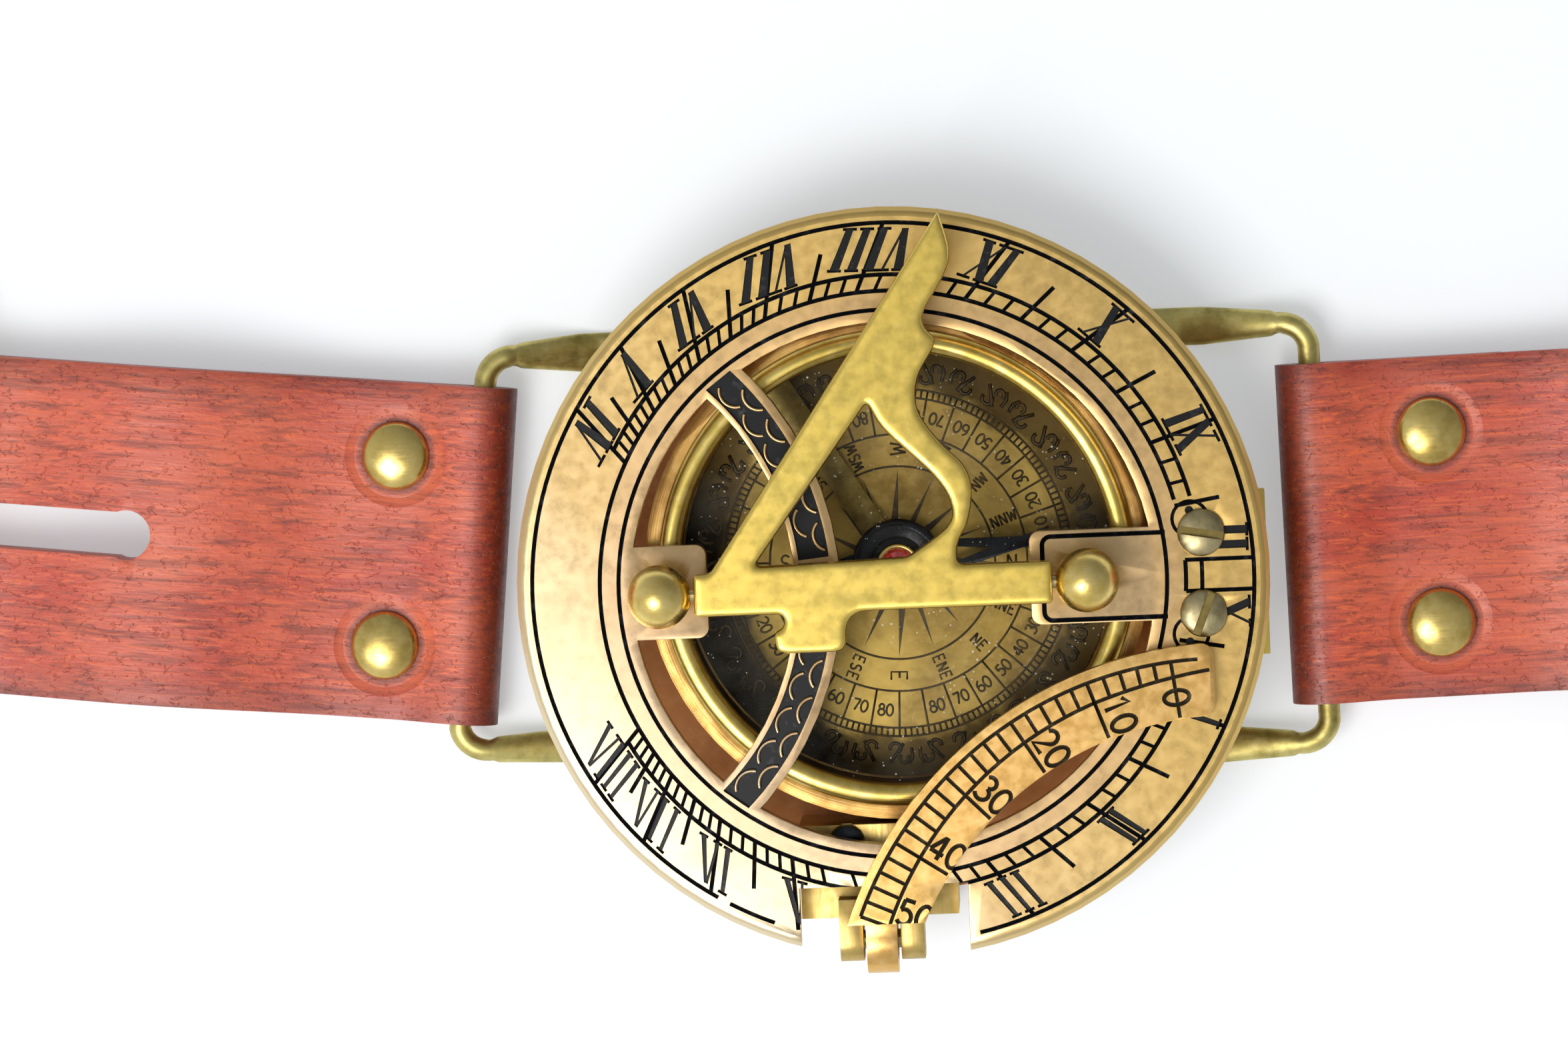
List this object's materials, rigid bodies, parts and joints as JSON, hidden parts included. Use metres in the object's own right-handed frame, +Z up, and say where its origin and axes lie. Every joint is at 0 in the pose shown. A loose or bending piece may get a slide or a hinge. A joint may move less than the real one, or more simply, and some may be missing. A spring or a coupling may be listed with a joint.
{
  "type": "wrist sundial compass",
  "caption": "Brass compass under a hinged hour ring with folding gnomon and latitude arc, on a riveted leather wrist strap with a buckle.",
  "frame": {"origin": "on the compass axis, at the flat underside of the base disc", "axes": "+X from the compass axis to the noon hinge and along the east strap, +Y to the side that the folded gnomon points to, +Z up through the glass"},
  "size_m": [0.2637, 0.0715, 0.0229],
  "materials": {
    "ring_brass": "satin",
    "gnomon_brass": "satin",
    "arc_brass": "satin",
    "polished_brass": "polished",
    "base_brass": "satin",
    "wire_brass": "satin",
    "dark_steel": "satin",
    "nickel_screw": "satin",
    "red_jewel": "gloss",
    "clear_glass": "gloss",
    "strap_leather": "satin"
  },
  "bodies": {
    "case": {"base_disc": "base_brass", "case_bowl": "polished_brass", "bezel_ring": "polished_brass", "glass": "clear_glass", "compass_card": "arc_brass", "needle_pivot": "nickel_screw", "lifter_pin": "nickel_screw", "arc_block": "gnomon_brass", "block_screw": "dark_steel", "arc_pin": "nickel_screw", "hinge_lower_leaf": "gnomon_brass", "hinge_pin": "nickel_screw", "wire_loop_east": "wire_brass", "wire_loop_west": "wire_brass"},
    "hour_ring": {"hour_ring": "ring_brass", "hinge_upper_leaf": "gnomon_brass", "hinge_screw_north": "nickel_screw", "hinge_screw_south": "nickel_screw", "ball_post_west": "gnomon_brass", "ball_post_east": "gnomon_brass"},
    "gnomon": {"gnomon": "gnomon_brass", "gnomon_pin_west": "nickel_screw", "gnomon_pin_east": "nickel_screw"},
    "latitude_arc": {"latitude_arc": "arc_brass"},
    "needle_lifter": {"needle_lifter": "wire_brass"},
    "needle": {"compass_needle": "dark_steel", "needle_cap": "arc_brass", "needle_jewel": "red_jewel"},
    "strap_west": {"strap_west": "strap_leather", "rivet_cap_west_north": "arc_brass", "rivet_cap_west_south": "arc_brass", "rivet_back_west_north": "arc_brass", "rivet_back_west_south": "arc_brass", "buckle_bar": "nickel_screw"},
    "strap_east": {"strap_east": "strap_leather", "rivet_cap_east_north": "arc_brass", "rivet_cap_east_south": "arc_brass", "rivet_back_east_north": "arc_brass", "rivet_back_east_south": "arc_brass"},
    "buckle_frame": {"buckle_frame": "polished_brass"},
    "buckle_prong": {"buckle_prong": "polished_brass"}
  },
  "joints": [
    {"name": "hour_ring_tilt", "type": "hinge", "parent": "case", "child": "hour_ring", "pos_m": [0.029, -0.0016, 0.0051], "axis": [0, 1, 0], "range_deg": [0, 14]},
    {"name": "latitude_arc_fold", "type": "hinge", "parent": "case", "child": "latitude_arc", "pos_m": [-0.0027, -0.0346, 0.012], "axis": [1, 0, 0], "range_deg": [0, 91]},
    {"name": "gnomon_fold", "type": "hinge", "parent": "hour_ring", "child": "gnomon", "pos_m": [-0.0004, -0.0013, 0.02], "axis": [1, 0, 0], "range_deg": [0, 90]},
    {"name": "needle_lift", "type": "hinge", "parent": "case", "child": "needle_lifter", "pos_m": [-0.01171, 0.01874, 0.00415], "axis": [-0.848, -0.5299, 0], "range_deg": [0, 3.5]},
    {"name": "needle_spin", "type": "hinge", "parent": "needle_lifter", "child": "needle", "pos_m": [0, 0, 0.0056], "axis": [0, 0, 1], "continuous": true},
    {"name": "strap_west_swing", "type": "hinge", "parent": "case", "child": "strap_west", "pos_m": [-0.0404, 0.0024, 0.0036], "axis": [0.1045, 0.9945, 0], "range_deg": [-80, 60]},
    {"name": "strap_east_swing", "type": "hinge", "parent": "case", "child": "strap_east", "pos_m": [0.0398, 0.0013, 0.0036], "axis": [0.0175, -0.9998, 0], "range_deg": [-80, 60]},
    {"name": "buckle_swing", "type": "hinge", "parent": "strap_west", "child": "buckle_frame", "pos_m": [-0.09112, 0.00773, 0.0036], "axis": [0.1045, 0.9945, 0], "range_deg": [-40, 45]},
    {"name": "buckle_prong_swing", "type": "hinge", "parent": "buckle_frame", "child": "buckle_prong", "pos_m": [-0.09112, 0.00773, 0.0036], "axis": [0.1045, 0.9945, 0], "range_deg": [0, 110]}
  ],
  "couplings": [
    {"joint": "latitude_arc_fold", "follows": "hour_ring_tilt", "ratio": 6.5}
  ]
}
